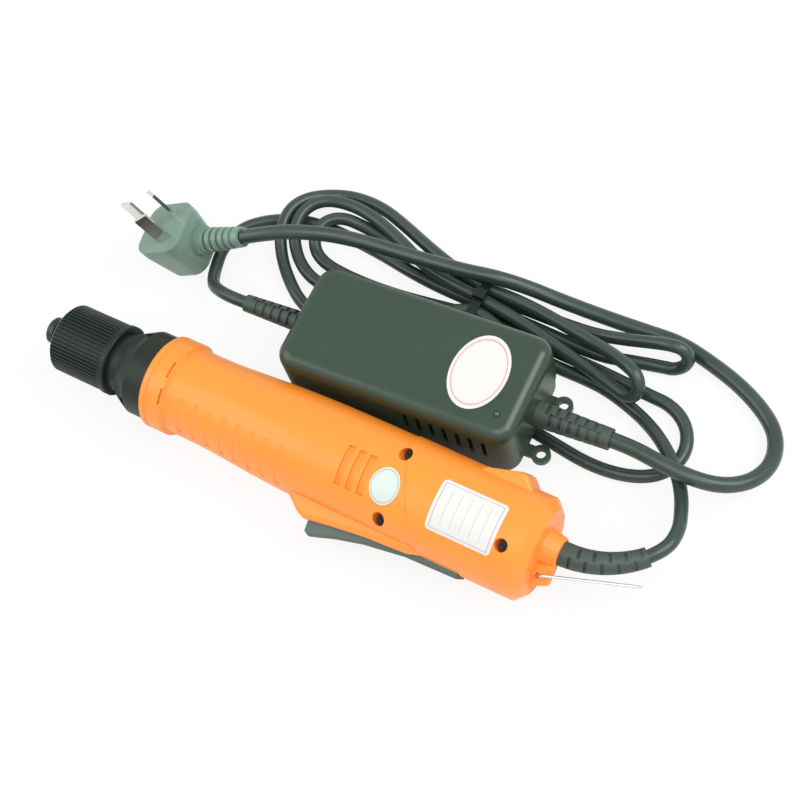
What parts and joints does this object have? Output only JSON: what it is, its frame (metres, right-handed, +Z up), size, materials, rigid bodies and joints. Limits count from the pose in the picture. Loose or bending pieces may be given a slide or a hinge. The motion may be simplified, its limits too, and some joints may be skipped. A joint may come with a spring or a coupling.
{
  "type": "electric screwdriver",
  "caption": "Corded inline electric screwdriver with lever start, ribbed torque ring and quick-change bit holder, with its box power supply, tied output cord and mains plug.",
  "frame": {"origin": "on the floor, under the centre of the box around the screwdriver and its power supply", "axes": "+Z up, the spindle along X with the bit end at -X, the power supply on the +Y side"},
  "size_m": [0.3248, 0.1704, 0.047],
  "materials": {
    "shell_orange": "smooth, slightly glossy",
    "black_plastic": "fine texture",
    "lever_plastic": "smooth",
    "supply_plastic": "fine texture, some gloss",
    "cord_pvc": "smooth, some gloss",
    "boot_rubber": "smooth",
    "steel": "ground",
    "spring_steel": "oiled",
    "screw_black": "blackened",
    "gear_steel": "sintered",
    "brass_plate": "plated",
    "copper": "enamelled wire",
    "ferrite": "ground",
    "carbon": "pressed",
    "board_green": "lacquered",
    "part_dark": "moulded",
    "white_plastic": "moulded",
    "aluminium": "bare",
    "lens": "clear tinted"
  },
  "bodies": {
    "housing": {"screw_side_shell": "shell_orange", "plain_side_shell": "shell_orange", "housing_screws": "screw_black", "nose_collar": "black_plastic", "torque_spring": "spring_steel", "bearing_outer_race": "steel", "ring_gear": "gear_steel", "motor_can": "steel", "motor_magnets": "ferrite", "motor_cap": "part_dark", "motor_brushes": "carbon", "lever_spring": "spring_steel", "lever_pin": "steel", "start_switch": "part_dark", "circuit_board": "board_green", "board_parts": "part_dark", "reverse_switch": "part_dark", "tool_boot": "boot_rubber", "supply_cover": "supply_plastic", "supply_base": "supply_plastic", "supply_screws": "screw_black", "supply_board": "board_green", "supply_transformer": "part_dark", "supply_capacitors": "part_dark", "supply_heat_sink": "aluminium", "indicator_lens": "lens", "mains_boot": "boot_rubber", "output_boot": "boot_rubber", "output_lead_supply_end": "cord_pvc", "output_lead_loop": "cord_pvc", "output_lead_tool_end": "cord_pvc", "output_lead_hank": "cord_pvc", "cable_tie": "black_plastic", "mains_lead": "cord_pvc", "plug_body": "lever_plastic", "plug_pins": "brass_plate"},
    "washer": {"pressure_washer": "steel"},
    "ring": {"torque_ring": "black_plastic"},
    "output": {"output_spindle": "steel", "lock_ball": "steel", "sleeve_clip": "spring_steel", "return_spring": "spring_steel", "clutch_hub": "gear_steel", "clutch_balls": "steel", "planet_carrier": "gear_steel", "planet_pins": "steel", "bearing_inner_race": "steel"},
    "sleeve": {"bit_sleeve": "screw_black"},
    "planet_1": {"planet_gear_1": "white_plastic"},
    "planet_2": {"planet_gear_2": "white_plastic"},
    "planet_3": {"planet_gear_3": "white_plastic"},
    "rotor": {"motor_shaft": "steel", "sun_pinion": "gear_steel", "armature": "gear_steel", "windings": "copper", "commutator": "copper"},
    "lever": {"switch_lever": "lever_plastic"},
    "plunger": {"switch_plunger": "white_plastic"},
    "reverse": {"reverse_knob": "black_plastic"},
    "bail": {"bail": "steel"}
  },
  "joints": [
    {"name": "ring_travel", "type": "slide", "parent": "housing", "child": "washer", "axis": [1, 0, 0], "range_m": [-0.003, 0.0036], "deforming": ["torque_spring"]},
    {"name": "ring_turn", "type": "hinge", "parent": "washer", "child": "ring", "pos_m": [-0.12, -0.0235, 0.0235], "axis": [1, 0, 0], "range_deg": [-720, 864]},
    {"name": "rotor_spin", "type": "hinge", "parent": "housing", "child": "rotor", "pos_m": [-0.05, -0.0235, 0.0235], "axis": [1, 0, 0], "continuous": true},
    {"name": "output_spin", "type": "hinge", "parent": "housing", "child": "output", "pos_m": [-0.11, -0.0235, 0.0235], "axis": [1, 0, 0], "continuous": true},
    {"name": "sleeve_push", "type": "slide", "parent": "output", "child": "sleeve", "axis": [1, 0, 0], "range_m": [0, 0.0025], "stiffness_N_per_m": 900, "springref_m": -0.003, "deforming": ["return_spring"]},
    {"name": "lever_press", "type": "hinge", "parent": "housing", "child": "lever", "pos_m": [0.075, -0.03807, 0.0182], "axis": [0, 0.342, -0.9397], "range_deg": [0, 4], "stiffness_Nm_per_rad": 1.5, "springref_deg": -5.73, "deforming": ["lever_spring"]},
    {"name": "plunger_press", "type": "slide", "parent": "housing", "child": "plunger", "axis": [0, 0.9397, 0.342], "range_m": [0, 0.0016]},
    {"name": "reverse_slide", "type": "slide", "parent": "housing", "child": "reverse", "axis": [1, 0, 0], "range_m": [-0.0025, 0.0025]},
    {"name": "bail_swing", "type": "hinge", "parent": "housing", "child": "bail", "pos_m": [0.11, -0.03205, 0.02039], "axis": [0, -0.342, 0.9397], "range_deg": [-105, 6]},
    {"name": "planet_1_spin", "type": "hinge", "parent": "output", "child": "planet_1", "pos_m": [-0.0862, -0.01575, 0.02632], "axis": [1, 0, 0], "continuous": true},
    {"name": "planet_2_spin", "type": "hinge", "parent": "output", "child": "planet_2", "pos_m": [-0.0862, -0.02982, 0.0288], "axis": [1, 0, 0], "continuous": true},
    {"name": "planet_3_spin", "type": "hinge", "parent": "output", "child": "planet_3", "pos_m": [-0.0862, -0.02493, 0.01537], "axis": [1, 0, 0], "continuous": true}
  ],
  "couplings": [
    {"joint": "ring_travel", "follows": "ring_turn", "m_per_rad": 0.00023873},
    {"joint": "rotor_spin", "follows": "output_spin", "ratio": 5},
    {"joint": "plunger_press", "follows": "lever_press", "m_per_rad": 0.022},
    {"joint": "planet_1_spin", "follows": "output_spin", "ratio": -2.6667},
    {"joint": "planet_2_spin", "follows": "output_spin", "ratio": -2.6667},
    {"joint": "planet_3_spin", "follows": "output_spin", "ratio": -2.6667}
  ]
}
